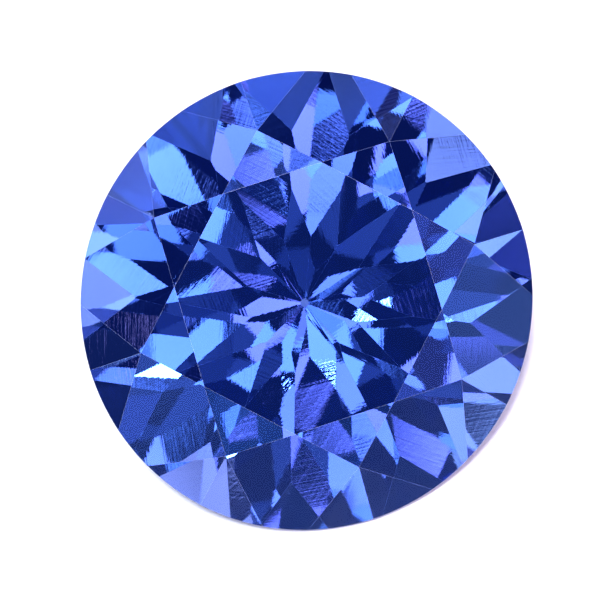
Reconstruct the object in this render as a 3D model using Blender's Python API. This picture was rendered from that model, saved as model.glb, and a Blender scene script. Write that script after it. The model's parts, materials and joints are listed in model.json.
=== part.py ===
# Loose round faceted gemstone, about 10 mm across.
# Metres, +Z up. The stone is ground from a round blank, one flat at a time, as a cutter does it:
# a table, eight kites, eight stars and sixteen upper girdle flats on the crown, and three rows of
# thirteen flats on the pavilion, down to a tiny culet. It is cut with its axis upright, and then
# laid down as a loose stone comes to rest, on one flat of the pavilion's middle row.

import bmesh
import bpy
from math import atan2, cos, pi, radians, sin, tan
from mathutils import Matrix, Vector

# Driving dimensions: lengths in metres, angles in degrees.
# Azimuths run counter-clockwise from +X, seen from above the table, before the stone is laid down.
GIRDLE_RADIUS = 0.005
GIRDLE_THINNEST = 0.00012
GIRDLE_SIDES = 144
OVAL_STRETCH = 1.011
OVAL_AZIMUTH = 68.0

TABLE_CORNER_RADIUS = 0.00292
CROWN_ANGLE = 33.0
CROWN_FOLD = 8
CROWN_TURN = -4.5
STAR_REACH = 0.48

# The pavilion rows, from the culet out. The stone is hand cut, so its thirteen flats are not
# evenly spread: these are their azimuths, as the photograph shows them through the table.
ROW_AZIMUTHS = (17.0, 48.0, 74.0, 98.0, 123.0, 150.0, 180.0, 211.0, 241.0, 270.0, 297.0, 325.0, 354.0)
INNER_ROW_ANGLE = 41.0
MIDDLE_ROW_ANGLE = 43.5
OUTER_ROW_ANGLE = 46.0
MIDDLE_ROW_START = 0.00132
MIDDLE_ROW_START_SWING = 0.00015
OUTER_ROW_START = 0.00305
CULET_DEPTH_LOST = 0.00008

# The middle-row flat that the loose stone lies on. It is ground a little deeper than the rest of
# its row, which makes it broader.
RESTING_AZIMUTH = 283.5
RESTING_FLAT_DEEPER = 0.00006

BLANK_HEIGHT = 0.02
ON_PLANE = 1.0e-6


def polar(radius, azimuth, height):
    """A point at a radius and an azimuth around the stone's axis."""
    turn = radians(azimuth)
    return Vector((radius * cos(turn), radius * sin(turn), height))


def plane_through(a, b, c):
    """The outward normal of the flat through three points; the axis is inside the stone."""
    normal = (b - a).cross(c - a).normalized()
    return normal if normal.dot(a) > 0.0 else -normal


def grind(bm, normal, point):
    """Grind one flat: take off what stands outside the plane, and close the cut."""
    everything = bm.verts[:] + bm.edges[:] + bm.faces[:]
    bmesh.ops.bisect_plane(
        bm, geom=everything, dist=ON_PLANE, plane_co=point, plane_no=normal, clear_outer=True
    )
    rim = [edge for edge in bm.edges if edge.is_boundary]
    if rim:
        bmesh.ops.holes_fill(bm, edges=rim)


def grind_crown(bm):
    """Table, kites, stars and upper girdle flats, cut so that they meet in points."""
    step = 360.0 / CROWN_FOLD
    top_of_girdle = GIRDLE_THINNEST / 2.0
    slope = tan(radians(CROWN_ANGLE))
    table_height = top_of_girdle + (GIRDLE_RADIUS - TABLE_CORNER_RADIUS) * slope
    table_edge = TABLE_CORNER_RADIUS * cos(radians(step / 2.0))
    star_tip = table_edge + STAR_REACH * (GIRDLE_RADIUS - table_edge)
    star_tip_height = top_of_girdle + (GIRDLE_RADIUS - star_tip * cos(radians(step / 2.0))) * slope

    grind(bm, Vector((0.0, 0.0, 1.0)), Vector((0.0, 0.0, table_height)))
    for index in range(CROWN_FOLD):
        azimuth = CROWN_TURN + index * step
        normal = polar(sin(radians(CROWN_ANGLE)), azimuth, cos(radians(CROWN_ANGLE)))
        grind(bm, normal, polar(GIRDLE_RADIUS, azimuth, top_of_girdle))
    for index in range(CROWN_FOLD):
        azimuth = CROWN_TURN + index * step
        corner = polar(TABLE_CORNER_RADIUS, azimuth, table_height)
        next_corner = polar(TABLE_CORNER_RADIUS, azimuth + step, table_height)
        tip = polar(star_tip, azimuth + step / 2.0, star_tip_height)
        grind(bm, plane_through(corner, next_corner, tip), tip)
        # The two upper girdle flats under this star face a quarter and three quarters along the step.
        for quarter in (0.25, 0.75):
            foot = polar(GIRDLE_RADIUS, azimuth + step * quarter, top_of_girdle)
            along = Vector((0.0, 0.0, 1.0)).cross(foot)
            grind(bm, plane_through(foot, foot + along, tip), tip)


def row_height(flats, azimuth, radius):
    """Height of the pavilion surface over the culet, where the rows in flats are cut."""
    return max(
        height + (radius * cos(radians(azimuth - own_azimuth)) - start) * tan(radians(angle))
        for own_azimuth, angle, start, height in flats
    )


def pavilion_flats():
    """Every pavilion flat as (azimuth, angle, radius where it starts, height there)."""
    flats = [(azimuth, INNER_ROW_ANGLE, 0.0, 0.0) for azimuth in ROW_AZIMUTHS]
    middle_row = []
    for index, azimuth in enumerate(ROW_AZIMUTHS):
        gap = (ROW_AZIMUTHS[(index + 1) % len(ROW_AZIMUTHS)] - azimuth) % 360.0
        between = azimuth + gap / 2.0
        start = MIDDLE_ROW_START + MIDDLE_ROW_START_SWING * sin(radians(between))
        middle_row.append((between, MIDDLE_ROW_ANGLE, start, row_height(flats, between, start)))
    flats += middle_row
    outer_row = []
    for azimuth in ROW_AZIMUTHS:
        height = row_height(flats, azimuth, OUTER_ROW_START)
        outer_row.append((azimuth, OUTER_ROW_ANGLE, OUTER_ROW_START, height))
    return flats + outer_row


def grind_pavilion(bm):
    """Three rows of flats and the culet, hung so that the highest flat just meets the girdle."""
    flats = pavilion_flats()
    girdle_height = max(row_height(flats, azimuth, GIRDLE_RADIUS) for azimuth in range(0, 360, 2))
    culet = -GIRDLE_THINNEST / 2.0 - girdle_height
    for azimuth, angle, start, height in flats:
        normal = polar(sin(radians(angle)), azimuth, -cos(radians(angle)))
        deeper = RESTING_FLAT_DEEPER if azimuth == RESTING_AZIMUTH else 0.0
        grind(bm, normal, polar(start, azimuth, culet + height) - normal * deeper)
    grind(bm, Vector((0.0, 0.0, -1.0)), Vector((0.0, 0.0, culet + CULET_DEPTH_LOST)))


def resting_turn(bm):
    """The turn that lays the stone on the middle-row flat at RESTING_AZIMUTH, with its table to -Y."""
    wanted = polar(sin(radians(MIDDLE_ROW_ANGLE)), RESTING_AZIMUTH, -cos(radians(MIDDLE_ROW_ANGLE)))
    normal = max((face.normal for face in bm.faces), key=wanted.dot)
    to_front = Matrix.Rotation(-pi / 2.0 - atan2(normal.y, normal.x), 4, "Z")
    lay_down = Matrix.Rotation(atan2(normal.xy.length, -normal.z), 4, "X")
    return lay_down @ to_front


def gem_material():
    """Clear blue-violet crystal with a polished surface."""
    material = bpy.data.materials.new("blue_violet_crystal")
    material.use_nodes = True
    shader = material.node_tree.nodes["Principled BSDF"]
    shader.inputs["Base Color"].default_value = (0.10, 0.17, 0.72, 1.0)
    shader.inputs["Roughness"].default_value = 0.03
    shader.inputs["Metallic"].default_value = 0.0
    shader.inputs["IOR"].default_value = 1.69
    shader.inputs["Transmission Weight"].default_value = 1.0
    return material


def faceted_stone():
    """The whole stone, cut upright around the origin and then laid on its resting flat."""
    bm = bmesh.new()
    bmesh.ops.create_cone(
        bm, cap_ends=True, segments=GIRDLE_SIDES, radius1=GIRDLE_RADIUS, radius2=GIRDLE_RADIUS,
        depth=BLANK_HEIGHT
    )
    grind_crown(bm)
    grind_pavilion(bm)
    bmesh.ops.remove_doubles(bm, verts=bm.verts, dist=2.0 * ON_PLANE)

    stretch = Matrix.Diagonal((OVAL_STRETCH, 1.0 / OVAL_STRETCH, 1.0, 1.0))
    long_way = Matrix.Rotation(radians(OVAL_AZIMUTH), 4, "Z")
    bmesh.ops.transform(bm, matrix=long_way @ stretch @ long_way.inverted(), verts=bm.verts)
    bmesh.ops.recalc_face_normals(bm, faces=bm.faces)
    bm.normal_update()

    bmesh.ops.transform(bm, matrix=resting_turn(bm), verts=bm.verts)
    low = Vector(min(vert.co[axis] for vert in bm.verts) for axis in range(3))
    high = Vector(max(vert.co[axis] for vert in bm.verts) for axis in range(3))
    middle = (low + high) / 2.0
    bmesh.ops.translate(bm, vec=(-middle.x, -middle.y, -low.z), verts=bm.verts)

    mesh = bpy.data.meshes.new("faceted_stone")
    bm.to_mesh(mesh)
    bm.free()
    stone = bpy.data.objects.new("faceted_stone", mesh)
    bpy.context.collection.objects.link(stone)
    stone.data.materials.append(gem_material())
    return stone


for leftover in list(bpy.data.objects):
    bpy.data.objects.remove(leftover)
faceted_stone()
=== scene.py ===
import json
import random
from math import cos, pi, radians, sin

import bmesh
import bpy
from mathutils import Matrix, Quaternion, Vector


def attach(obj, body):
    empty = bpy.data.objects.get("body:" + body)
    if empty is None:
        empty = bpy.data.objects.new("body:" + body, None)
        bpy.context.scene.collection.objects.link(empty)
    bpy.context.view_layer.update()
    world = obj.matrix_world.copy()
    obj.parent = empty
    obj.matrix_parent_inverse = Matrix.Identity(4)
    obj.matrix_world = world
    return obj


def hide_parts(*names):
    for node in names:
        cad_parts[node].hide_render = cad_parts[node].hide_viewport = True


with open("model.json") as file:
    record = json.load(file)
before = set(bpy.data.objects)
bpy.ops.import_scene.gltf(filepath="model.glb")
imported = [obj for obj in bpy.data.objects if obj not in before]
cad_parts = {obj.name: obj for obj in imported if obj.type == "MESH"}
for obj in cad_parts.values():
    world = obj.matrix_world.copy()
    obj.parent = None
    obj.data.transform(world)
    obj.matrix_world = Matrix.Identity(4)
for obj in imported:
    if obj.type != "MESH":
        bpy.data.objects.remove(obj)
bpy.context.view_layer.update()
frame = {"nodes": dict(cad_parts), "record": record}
print("frame loaded:", sorted(frame["nodes"]))


def linear(hexColour):
    # one sRGB hex value to a linear colour with alpha 1
    parts = [int(hexColour[i:i + 2], 16) / 255 for i in (1, 3, 5)]
    return tuple(c / 12.92 if c <= 0.04045 else ((c + 0.055) / 1.055) ** 2.4 for c in parts) + (1.0,)


def addNode(tree, kind, settings=None, links=None):
    # adds one node; settings holds attributes or socket values, links maps a socket to an output,
    # and a socket is given by its name or its number
    node = tree.nodes.new(kind)
    for name, value in (settings or {}).items():
        if isinstance(name, str) and hasattr(node, name):
            setattr(node, name, value)
        else:
            node.inputs[name].default_value = value
    for name, output in (links or {}).items():
        tree.links.new(output, node.inputs[name])
    return node


# The stone's own directions, read from its table facet
table = next(mount for mount in frame["record"]["mounts"] if mount["name"] == "table")
stoneAxis = Vector(table["axis"]).normalized()
girdleDepth = 0.0014  # from the table down to the girdle, in metres
girdleCentre = Vector(table["pos_m"]) - stoneAxis * girdleDepth
levelRight = Vector((1, 0, 0))
slopeUp = stoneAxis.cross(levelRight)


# The stone

stone = {
    "depthColour": "#569eea",  # what light keeps on its way through the crystal
    "absorption": 285.0,  # per metre
    "ior": 1.69,
    "reflectionTint": "#4474dc",
    "roughness": 0.01,
    "polishLineWidth": 0.00007,  # real polish lines are finer; drawn this coarse so that they show
    "polishLineStretch": 0.03,  # width of a polish line over its length
    "polishDepth": 0.0000006,
    "polishSeed": 4,
    "edgeWidth": 0.00005,  # the polish leaves each facet edge about 0.05 mm wide
    "edgeColour": "#b4ccff",
    "edgeRoughness": 0.35,
    "edgeClear": 0.45,  # share of the light that goes through an edge; the rest scatters
    "sameFlat": 0.4,  # degrees; faces closer than this are one facet
    "samePoint": 0.000001,
}


def clearCrystal(name, roughness):
    material = bpy.data.materials.new(name)
    material.use_nodes = True
    tree = material.node_tree
    shader = tree.nodes["Principled BSDF"]
    shader.inputs["Base Color"].default_value = (1.0, 1.0, 1.0, 1.0)
    shader.inputs["Roughness"].default_value = roughness
    shader.inputs["IOR"].default_value = stone["ior"]
    shader.inputs["Specular Tint"].default_value = linear(stone["reflectionTint"])
    shader.inputs["Transmission Weight"].default_value = 1.0
    depth = addNode(tree, "ShaderNodeVolumeAbsorption", {
        "Color": linear(stone["depthColour"]), "Density": stone["absorption"]})
    tree.links.new(depth.outputs["Volume"], tree.nodes["Material Output"].inputs["Volume"])
    return material


def polishedCrystal():
    # Blue-violet crystal, ground and polished on a lap: the eye sees deep clear blue, sharp bright
    # and dark facets, and on some of them the fine parallel lines that the lap left
    material = clearCrystal("blue-violet crystal polished on a lap", stone["roughness"])
    tree = material.node_tree
    lines = addNode(tree, "ShaderNodeUVMap", {"uv_map": "polish lines"})
    drawnOut = addNode(
        tree, "ShaderNodeMapping", {"Scale": (1.0, stone["polishLineStretch"], 1.0)},
        {"Vector": lines.outputs["UV"]})
    ripple = addNode(
        tree, "ShaderNodeTexNoise", {"Scale": 1.0, "Detail": 2.0, "Roughness": 0.6},
        {"Vector": drawnOut.outputs["Vector"]})
    bump = addNode(
        tree, "ShaderNodeBump", {"Strength": 1.0, "Distance": stone["polishDepth"]},
        {"Height": ripple.outputs[0]})
    tree.links.new(bump.outputs["Normal"], tree.nodes["Principled BSDF"].inputs["Normal"])
    return material


def roundedEdge():
    # The edge between two facets, softened by the polish: it scatters the light a little, so the
    # eye sees it as a thin pale line
    material = clearCrystal(
        "blue-violet crystal facet edge softened by polish", stone["edgeRoughness"])
    shader = material.node_tree.nodes["Principled BSDF"]
    shader.inputs["Base Color"].default_value = linear(stone["edgeColour"])
    shader.inputs["Specular Tint"].default_value = (1.0, 1.0, 1.0, 1.0)
    shader.inputs["Transmission Weight"].default_value = stone["edgeClear"]
    return material


def layPolishLines(bm, origin):
    # Each facet was polished in its own direction: u counts line widths across its lines
    layer = bm.loops.layers.uv.new("polish lines")
    dice = random.Random(stone["polishSeed"])
    width = stone["polishLineWidth"]
    for face in bm.faces:
        along = face.calc_tangent_edge()
        along.rotate(Quaternion(face.normal, dice.uniform(0.0, pi)))
        across = face.normal.cross(along)
        for loop in face.loops:
            place = loop.vert.co - origin
            loop[layer].uv = (place.dot(across) / width, place.dot(along) / width)


def makeStone():
    node = frame["nodes"]["faceted_stone"]
    bm = bmesh.new()
    bm.from_mesh(node.data)
    bmesh.ops.remove_doubles(bm, verts=bm.verts, dist=stone["samePoint"])
    bmesh.ops.dissolve_limit(
        bm, angle_limit=radians(stone["sameFlat"]), verts=bm.verts, edges=bm.edges, delimit=set())
    made = bmesh.ops.bevel(
        bm, geom=bm.edges[:], offset=stone["edgeWidth"] / 2, offset_type="OFFSET", affect="EDGES",
        segments=1, profile=0.5, material=-1, clamp_overlap=True)
    for face in made["faces"]:
        face.material_index = 1
    layPolishLines(bm, node.location)
    mesh = bpy.data.meshes.new("gemstone")
    bm.to_mesh(mesh)
    bm.free()
    mesh.materials.append(polishedCrystal())
    mesh.materials.append(roundedEdge())
    piece = bpy.data.objects.new("gemstone", mesh)
    bpy.context.collection.objects.link(piece)
    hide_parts("faceted_stone")
    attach(piece, "root")
    return piece


gemstone = makeStone()
print("stone finished:", len(gemstone.data.polygons), "faces")


# The floor

floorPlan = {
    "halfWidth": 0.6,
    "gap": 0.00001,  # keeps the floor off the plane of the facet that the stone lies on
    "colour": "#f7f7f8",
    "roughness": 0.6,
}


def makeFloor():
    bm = bmesh.new()
    bmesh.ops.create_grid(bm, x_segments=1, y_segments=1, size=floorPlan["halfWidth"])
    mesh = bpy.data.meshes.new("floor")
    bm.to_mesh(mesh)
    bm.free()
    # Uncoated white paper, pressed smooth: an even matt white without a reflection
    material = bpy.data.materials.new("white paper pressed smooth")
    material.use_nodes = True
    shader = material.node_tree.nodes["Principled BSDF"]
    shader.inputs["Base Color"].default_value = linear(floorPlan["colour"])
    shader.inputs["Roughness"].default_value = floorPlan["roughness"]
    mesh.materials.append(material)
    floor = bpy.data.objects.new("floor", mesh)
    floor.location.z = -floorPlan["gap"]
    bpy.context.collection.objects.link(floor)


makeFloor()
print("floor laid")


# The camera

view = {
    "lens": 200.0,
    "sensorWidth": 36.0,
    "frameWidth": 0.013175,  # what the picture takes in at the girdle
    "nearest": 0.001,
    "roll": 13.5,  # degrees, the photograph's up against the stone's own slope
    "tiltRight": 0.02,  # how far the view is off the stone's axis
    "tiltUp": 0.03,
    "aimRight": -0.00015,
}


def makeCamera():
    roll = radians(view["roll"])
    right = levelRight * cos(roll) - slopeUp * sin(roll)
    up = slopeUp * cos(roll) + levelRight * sin(roll)
    back = (stoneAxis - right * view["tiltRight"] - up * view["tiltUp"]).normalized()
    right = (right - back * right.dot(back)).normalized()
    up = back.cross(right)
    data = bpy.data.cameras.new("camera")
    data.lens = view["lens"]
    data.sensor_width = view["sensorWidth"]
    data.clip_start = view["nearest"]
    camera = bpy.data.objects.new("camera", data)
    bpy.context.collection.objects.link(camera)
    distance = view["frameWidth"] * view["lens"] / view["sensorWidth"]
    place = girdleCentre + right * view["aimRight"] + back * distance
    turn = Matrix((right, up, back)).transposed().to_4x4()
    camera.matrix_world = Matrix.Translation(place) @ turn
    bpy.context.scene.camera = camera


makeCamera()


# The light: a pale cloth tent with round soft panels around the stone, and one small key light
# whose shadow falls behind the stone, where the camera doesn't see it

studio = {
    "dim": 0.16,  # brightness of the tent's cloth away from its panels
    "dimColour": "#86a9ff",
    "softEdge": 3.0,  # degrees over which a panel fades out
    "panels": [
        # azimuth, elevation, half width (degrees, as seen from the stone), brightness, colour
        (0.0, 46.0, 6.0, 0.5, "#dfe8ff"),  # around the camera, weak
        (2.0, 68.0, 9.0, 6.0, "#f4fbff"),  # over the camera: lights the stone's lower half
        (32.0, 45.0, 8.0, 6.5, "#ffd0e4"),  # right of the camera, warm: the lavender facets
        (-32.0, 43.0, 8.0, 5.0, "#fcecf6"),  # left of the camera
        (0.0, 25.0, 8.0, 0.3, "#cfe0ff"),  # under the camera, weak: leaves the upper middle dark
        (-24.0, 18.0, 6.0, 3.5, "#eefaff"),  # lower left
        (28.0, 16.0, 6.0, 4.0, "#ffcce2"),  # lower right
        (-10.0, 90.0, 8.0, 4.0, "#ffe6ee"),  # overhead
        (-66.0, 38.0, 9.0, 4.0, "#eafaff"),  # left side, cool: the ice-blue facets
        (66.0, 38.0, 9.0, 5.0, "#ffc8de"),  # right side, warm
        (-45.0, 66.0, 6.0, 3.5, "#eafaff"),  # high on the left
        (48.0, 68.0, 6.0, 3.5, "#ffe0ea"),  # high on the right
        (-60.0, 10.0, 9.0, 3.0, "#f2f8ff"),  # low on the left
        (62.0, 8.0, 9.0, 3.0, "#f2fcff"),  # low on the right
        (0.0, 3.0, 6.0, 2.0, "#ffffff"),  # in front, at the floor
        (-110.0, 50.0, 12.0, 2.0, "#ffffff"),  # behind, on the left
        (115.0, 50.0, 12.0, 2.0, "#ffe6ee"),  # behind, on the right
        (180.0, 30.0, 20.0, 0.8, "#a8d4ff"),  # straight behind, dim and cool
    ],
    "keyWay": (-6.0, 56.0),  # azimuth and elevation of the key light
    "keyStrength": 2.6,
    "keyWidth": 5.0,  # degrees
}


def skyWay(azimuth, elevation):
    # azimuth 0 is the camera's side, positive to its right
    a, e = radians(azimuth), radians(elevation)
    return Vector((sin(a) * cos(e), -cos(a) * cos(e), sin(e)))


def makeTent():
    world = bpy.data.worlds.new("light tent")
    world.use_nodes = True
    tree = world.node_tree
    way = addNode(tree, "ShaderNodeTexCoord").outputs["Generated"]
    cloth = [c * studio["dim"] for c in linear(studio["dimColour"])[:3]]
    light = addNode(tree, "ShaderNodeCombineXYZ", dict(zip("XYZ", cloth))).outputs[0]
    for azimuth, elevation, halfWidth, strength, colour in studio["panels"]:
        towards = addNode(
            tree, "ShaderNodeVectorMath",
            {"operation": "DOT_PRODUCT", 1: skyWay(azimuth, elevation)}, {0: way})
        inside = addNode(
            tree, "ShaderNodeMapRange",
            {"interpolation_type": "SMOOTHSTEP",
             "From Min": cos(radians(halfWidth + studio["softEdge"])),
             "From Max": cos(radians(halfWidth))},
            {"Value": towards.outputs["Value"]})
        shade = addNode(
            tree, "ShaderNodeVectorMath",
            {"operation": "SCALE", 0: [c * strength for c in linear(colour)[:3]]},
            {"Scale": inside.outputs["Result"]})
        both = addNode(
            tree, "ShaderNodeVectorMath", {"operation": "ADD"},
            {0: light, 1: shade.outputs["Vector"]})
        light = both.outputs["Vector"]
    tree.links.new(light, tree.nodes["Background"].inputs["Color"])
    bpy.context.scene.world = world


def makeKeyLight():
    lamp = bpy.data.lights.new("key light", "SUN")
    lamp.energy = studio["keyStrength"]
    lamp.angle = radians(studio["keyWidth"])
    key = bpy.data.objects.new("key light", lamp)
    bpy.context.collection.objects.link(key)
    key.rotation_euler = skyWay(*studio["keyWay"]).to_track_quat("Z", "Y").to_euler()


makeTent()
makeKeyLight()
bpy.context.scene.view_settings.view_transform = "Standard"
print("camera and lights placed")
